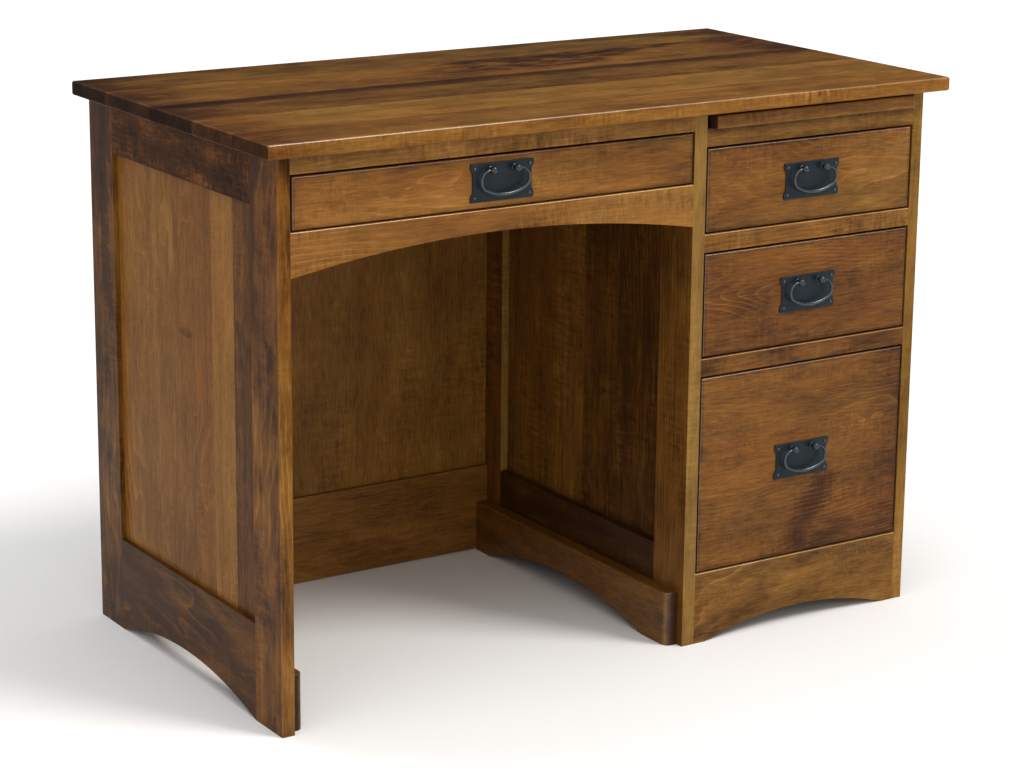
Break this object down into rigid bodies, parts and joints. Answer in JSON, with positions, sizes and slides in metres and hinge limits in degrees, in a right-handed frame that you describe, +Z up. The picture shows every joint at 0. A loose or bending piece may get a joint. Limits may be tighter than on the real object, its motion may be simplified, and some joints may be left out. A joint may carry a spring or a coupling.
{
  "type": "pedestal desk",
  "caption": "Wooden writing desk with an arched kneehole, a drawer pedestal on the right, a pull-out writing board and dark bail pulls.",
  "frame": {"origin": "on the floor, under the middle of the desktop", "axes": "+X to the right as seen from the front, +Y to the back, +Z up"},
  "size_m": [1.066, 0.558, 0.762],
  "materials": {
    "stained_maple": "satin brown stain",
    "clear_maple": "clear satin lacquer",
    "maple_plywood": "clear satin lacquer",
    "blackened_iron": "matte black",
    "zinc_steel": "bright zinc"
  },
  "bodies": {
    "carcase": {"back_rails": "stained_maple", "desktop": "stained_maple", "desktop_screws": "zinc_steel", "drawer_rails": "stained_maple", "inner_side_bottom_rail": "stained_maple", "inner_side_panel": "stained_maple", "inner_side_stiles": "stained_maple", "inner_side_top_rail": "stained_maple", "kneehole_apron": "stained_maple", "kneehole_base_boards": "stained_maple", "kneehole_top_rail": "stained_maple", "left_end_bottom_rail": "stained_maple", "left_end_panel": "stained_maple", "left_end_stiles": "stained_maple", "left_end_top_rail": "stained_maple", "modesty_panel": "stained_maple", "pedestal_back_panel": "stained_maple", "pedestal_base_rail": "stained_maple", "right_end_bottom_rail": "stained_maple", "right_end_panel": "stained_maple", "right_end_stiles": "stained_maple", "right_end_top_rail": "stained_maple", "slide_case_members": "zinc_steel", "top_cleats": "stained_maple", "writing_board_rail": "stained_maple", "writing_board_runners": "stained_maple"},
    "writing_board": {"writing_board": "stained_maple"},
    "center_drawer": {"center_drawer_front": "stained_maple", "center_drawer_box": "clear_maple", "center_drawer_bottom": "maple_plywood", "center_slide_drawer_members": "zinc_steel", "center_pull_plate": "blackened_iron", "center_pull_posts": "blackened_iron"},
    "center_slide_middle": {"center_slide_middle_members": "zinc_steel"},
    "center_bail": {"center_bail": "blackened_iron"},
    "upper_drawer": {"upper_drawer_front": "stained_maple", "upper_drawer_box": "clear_maple", "upper_drawer_bottom": "maple_plywood", "upper_slide_drawer_members": "zinc_steel", "upper_pull_plate": "blackened_iron", "upper_pull_posts": "blackened_iron"},
    "upper_slide_middle": {"upper_slide_middle_members": "zinc_steel"},
    "upper_bail": {"upper_bail": "blackened_iron"},
    "middle_drawer": {"middle_drawer_front": "stained_maple", "middle_drawer_box": "clear_maple", "middle_drawer_bottom": "maple_plywood", "middle_slide_drawer_members": "zinc_steel", "middle_pull_plate": "blackened_iron", "middle_pull_posts": "blackened_iron"},
    "middle_slide_middle": {"middle_slide_middle_members": "zinc_steel"},
    "middle_bail": {"middle_bail": "blackened_iron"},
    "file_drawer": {"file_drawer_front": "stained_maple", "file_drawer_box": "clear_maple", "file_drawer_bottom": "maple_plywood", "file_slide_drawer_members": "zinc_steel", "file_pull_plate": "blackened_iron", "file_pull_posts": "blackened_iron", "file_rails": "zinc_steel"},
    "file_slide_middle": {"file_slide_middle_members": "zinc_steel"},
    "file_bail": {"file_bail": "blackened_iron"}
  },
  "joints": [
    {"name": "writing_board_slide", "type": "slide", "parent": "carcase", "child": "writing_board", "axis": [0, -1, 0], "range_m": [0, 0.3]},
    {"name": "center_drawer_slide", "type": "slide", "parent": "carcase", "child": "center_drawer", "axis": [0, -1, 0], "range_m": [0, 0.45]},
    {"name": "center_middle_member_slide", "type": "slide", "parent": "carcase", "child": "center_slide_middle", "axis": [0, -1, 0], "range_m": [0, 0.225]},
    {"name": "center_bail_swing", "type": "hinge", "parent": "center_drawer", "child": "center_bail", "pos_m": [-0.188, -0.264, 0.699], "axis": [-1, 0, 0], "range_deg": [0, 90]},
    {"name": "upper_drawer_slide", "type": "slide", "parent": "carcase", "child": "upper_drawer", "axis": [0, -1, 0], "range_m": [0, 0.45]},
    {"name": "upper_middle_member_slide", "type": "slide", "parent": "carcase", "child": "upper_slide_middle", "axis": [0, -1, 0], "range_m": [0, 0.225]},
    {"name": "upper_bail_swing", "type": "hinge", "parent": "upper_drawer", "child": "upper_bail", "pos_m": [0.312, -0.264, 0.6527], "axis": [-1, 0, 0], "range_deg": [0, 90]},
    {"name": "middle_drawer_slide", "type": "slide", "parent": "carcase", "child": "middle_drawer", "axis": [0, -1, 0], "range_m": [0, 0.45]},
    {"name": "middle_middle_member_slide", "type": "slide", "parent": "carcase", "child": "middle_slide_middle", "axis": [0, -1, 0], "range_m": [0, 0.225]},
    {"name": "middle_bail_swing", "type": "hinge", "parent": "middle_drawer", "child": "middle_bail", "pos_m": [0.312, -0.264, 0.49545], "axis": [-1, 0, 0], "range_deg": [0, 90]},
    {"name": "file_drawer_slide", "type": "slide", "parent": "carcase", "child": "file_drawer", "axis": [0, -1, 0], "range_m": [0, 0.45]},
    {"name": "file_middle_member_slide", "type": "slide", "parent": "carcase", "child": "file_slide_middle", "axis": [0, -1, 0], "range_m": [0, 0.225]},
    {"name": "file_bail_swing", "type": "hinge", "parent": "file_drawer", "child": "file_bail", "pos_m": [0.312, -0.264, 0.25735], "axis": [-1, 0, 0], "range_deg": [0, 90]}
  ],
  "couplings": [
    {"joint": "center_middle_member_slide", "follows": "center_drawer_slide", "ratio": 0.5},
    {"joint": "upper_middle_member_slide", "follows": "upper_drawer_slide", "ratio": 0.5},
    {"joint": "middle_middle_member_slide", "follows": "middle_drawer_slide", "ratio": 0.5},
    {"joint": "file_middle_member_slide", "follows": "file_drawer_slide", "ratio": 0.5}
  ]
}
